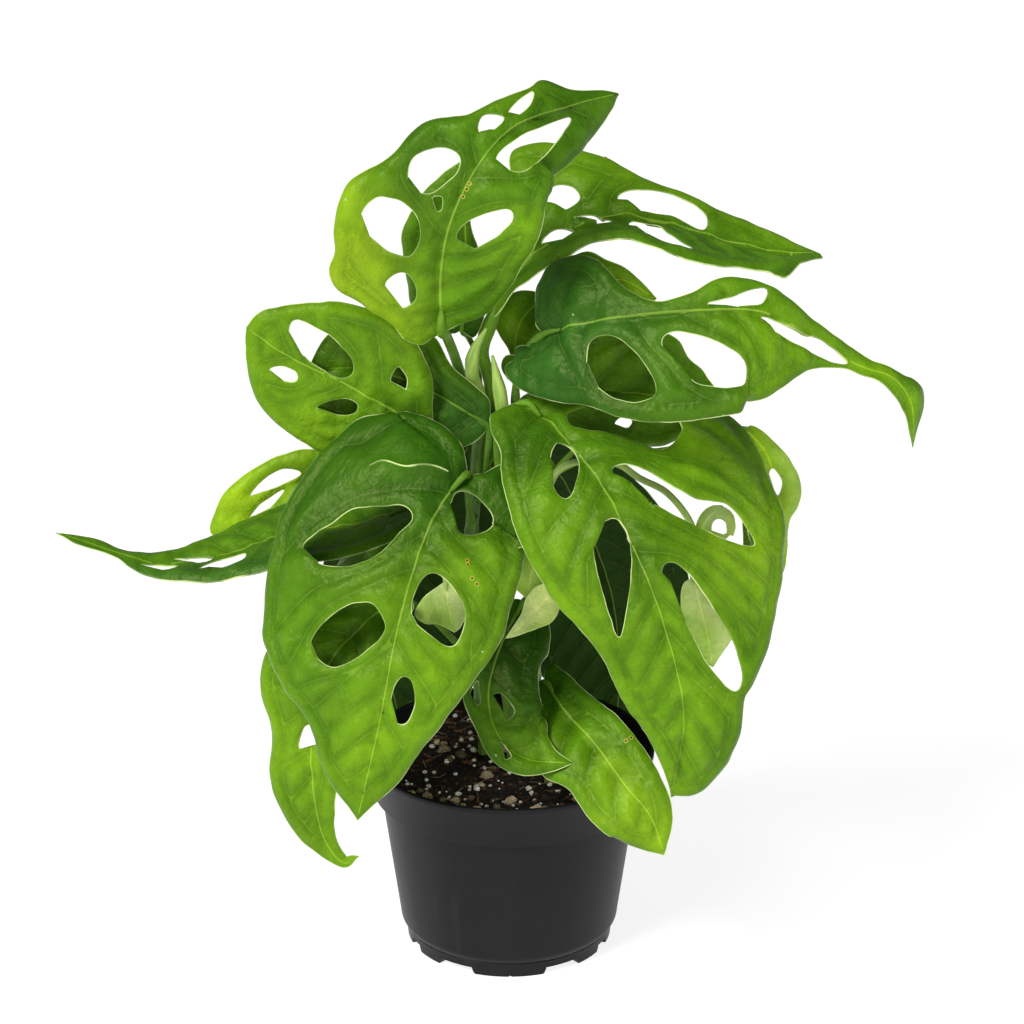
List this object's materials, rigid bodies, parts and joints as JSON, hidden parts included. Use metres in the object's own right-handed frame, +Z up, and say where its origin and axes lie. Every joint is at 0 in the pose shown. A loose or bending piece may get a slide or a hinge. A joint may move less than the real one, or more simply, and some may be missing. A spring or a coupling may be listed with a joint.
{
  "type": "monstera adansonii house plant in a nursery pot",
  "caption": "Potted climbing house plant: large green leaves with natural holes on stalks and vine stems, rooted in potting mix in a round black plastic nursery pot.",
  "frame": {"origin": "bottom centre of the whole plant's box, on the surface that the pot stands on", "axes": "+Z up, +X to the right and -Y towards the viewer as seen in the picture"},
  "size_m": [0.4252, 0.2078, 0.4595],
  "materials": {
    "pot_plastic": "moulded black plastic, satin, faint wear",
    "potting_mix": "damp dark peat and bark with pale perlite grains",
    "stem_green": "smooth green stem, satin",
    "leaf_green": "fresh green leaf, satin, with paler veins",
    "leaf_dark": "darker, older or shaded green leaf, satin",
    "leaf_pale": "young pale green leaf, satin"
  },
  "bodies": {
    "root": {"leaf_centre_dark": "leaf_dark", "leaf_curled_front": "leaf_dark", "leaf_droop_front": "leaf_green", "leaf_front_left": "leaf_green", "leaf_front_right": "leaf_green", "leaf_left_behind": "leaf_dark", "leaf_left_long": "leaf_green", "leaf_left_pale": "leaf_pale", "leaf_left_raised": "leaf_green", "leaf_lower_left": "leaf_green", "leaf_rear_left": "leaf_dark", "leaf_rear_right": "leaf_dark", "leaf_right_behind": "leaf_dark", "leaf_right_folded": "leaf_green", "leaf_right_pale": "leaf_pale", "leaf_right_under": "leaf_dark", "leaf_side_left": "leaf_dark", "leaf_side_right": "leaf_dark", "leaf_top_behind": "leaf_dark", "leaf_top_left": "leaf_green", "leaf_upper_right": "leaf_green", "leaf_young_centre": "leaf_pale", "leaf_young_front": "leaf_pale", "leaf_young_left": "leaf_pale", "leaf_young_loop": "leaf_pale", "leaf_young_right": "leaf_pale", "pot": "pot_plastic", "soil": "potting_mix", "stem_front": "stem_green", "stem_left": "stem_green", "stem_right": "stem_green"}
  },
  "joints": []
}
